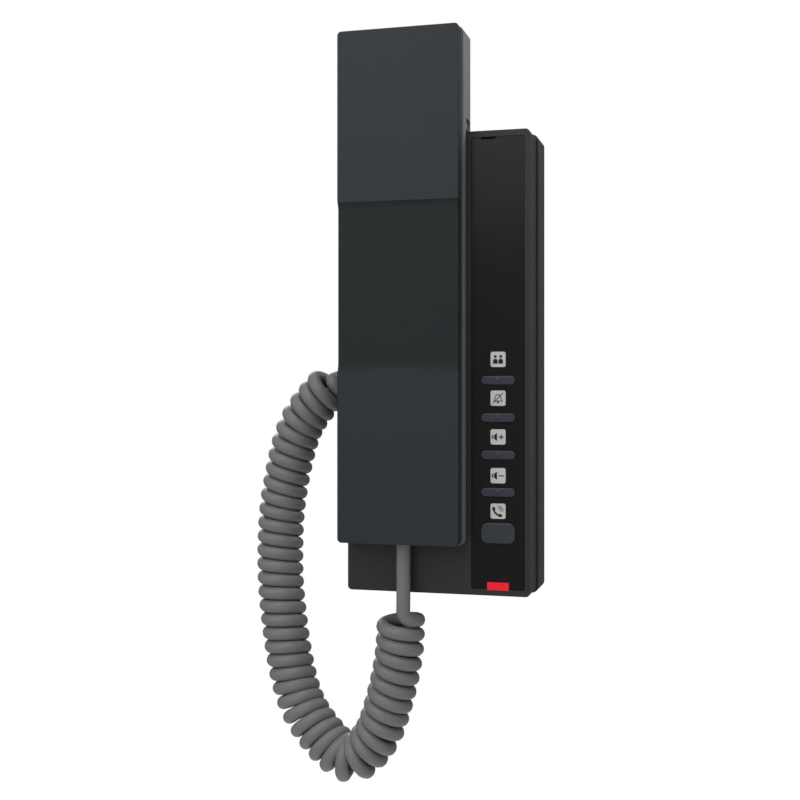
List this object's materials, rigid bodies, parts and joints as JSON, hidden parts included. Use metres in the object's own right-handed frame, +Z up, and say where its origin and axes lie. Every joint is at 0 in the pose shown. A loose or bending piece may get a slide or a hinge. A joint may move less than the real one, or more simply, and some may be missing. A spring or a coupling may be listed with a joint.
{
  "type": "door entry audio station",
  "caption": "Wall-mounted door entry station: slim base with a gloss key panel and alarm lens, and a slab handset on a curly cord.",
  "frame": {"origin": "middle of the wall screw pattern, on the wall plane", "axes": "+X to the viewer's right, +Y into the wall, +Z up; the front faces -Y"},
  "size_m": [0.1304, 0.0488, 0.3264],
  "materials": {
    "zinc_steel": "zinc plated",
    "screw_steel": "plain steel",
    "base_plastic": "fine moulded texture",
    "handset_paint": "smooth satin",
    "grip_texture": "very fine grain",
    "frame_plastic": "matt",
    "shell_plastic": "fine moulded texture",
    "gloss_panel": "gloss black",
    "icon_window": "satin light grey",
    "key_plastic": "satin",
    "red_lens": "clear red",
    "led_body": "clear",
    "circuit_board": "solder mask",
    "terminal_plastic": "satin",
    "capacitor_sleeve": "satin sleeve",
    "black_nylon": "satin",
    "silicone_mat": "matt",
    "ribbon_plastic": "flat cable",
    "foam_ring": "matt",
    "cord_rubber": "satin"
  },
  "bodies": {
    "base": {"wall_bracket": "zinc_steel", "lock_screw": "screw_steel", "rear_housing": "base_plastic", "front_cover": "base_plastic", "cover_screws": "screw_steel", "main_board": "circuit_board", "board_screws": "screw_steel", "terminal_block": "terminal_plastic", "board_capacitors": "capacitor_sleeve", "modular_jack": "black_nylon", "ringer_speaker": "black_nylon", "hook_sensor": "circuit_board", "key_board": "circuit_board", "tact_switches": "black_nylon", "key_mat": "silicone_mat", "ribbon_cable": "ribbon_plastic", "front_panel": "gloss_panel", "alarm_lens": "red_lens", "alarm_led": "led_body", "window_people": "icon_window", "window_bell_off": "icon_window", "window_volume_up": "icon_window", "window_volume_down": "icon_window", "window_talk": "icon_window", "handset_cord_tail": "cord_rubber", "curly_cord": "cord_rubber", "base_cord_tail": "cord_rubber", "cord_plug": "black_nylon"},
    "handset": {"upper_plate": "handset_paint", "grip_plate": "grip_texture", "lower_plate": "handset_paint", "handset_frame": "frame_plastic", "handset_rear": "shell_plastic", "ear_receiver": "black_nylon", "receiver_ring": "foam_ring", "microphone": "screw_steel", "mic_boot": "foam_ring", "weight_bar": "zinc_steel", "hook_magnet": "screw_steel", "handset_board": "circuit_board", "handset_screws": "screw_steel", "cord_bush": "cord_rubber"},
    "people_key": {"key_people": "key_plastic"},
    "bell_off_key": {"key_bell_off": "key_plastic"},
    "volume_up_key": {"key_volume_up": "key_plastic"},
    "volume_down_key": {"key_volume_down": "key_plastic"},
    "talk_key": {"key_talk": "key_plastic"}
  },
  "joints": [
    {"name": "handset_lift", "type": "slide", "parent": "base", "child": "handset", "axis": [0, -0.7071, 0.7071], "range_m": [0, 0.06], "deforming": ["curly_cord", "handset_cord_tail"]},
    {"name": "people_press", "type": "slide", "parent": "base", "child": "people_key", "axis": [0, 1, 0], "range_m": [0, 0.001], "stiffness_N_per_m": 1500},
    {"name": "bell_off_press", "type": "slide", "parent": "base", "child": "bell_off_key", "axis": [0, 1, 0], "range_m": [0, 0.001], "stiffness_N_per_m": 1500},
    {"name": "volume_up_press", "type": "slide", "parent": "base", "child": "volume_up_key", "axis": [0, 1, 0], "range_m": [0, 0.001], "stiffness_N_per_m": 1500},
    {"name": "volume_down_press", "type": "slide", "parent": "base", "child": "volume_down_key", "axis": [0, 1, 0], "range_m": [0, 0.001], "stiffness_N_per_m": 1500},
    {"name": "talk_press", "type": "slide", "parent": "base", "child": "talk_key", "axis": [0, 1, 0], "range_m": [0, 0.001], "stiffness_N_per_m": 1500}
  ]
}
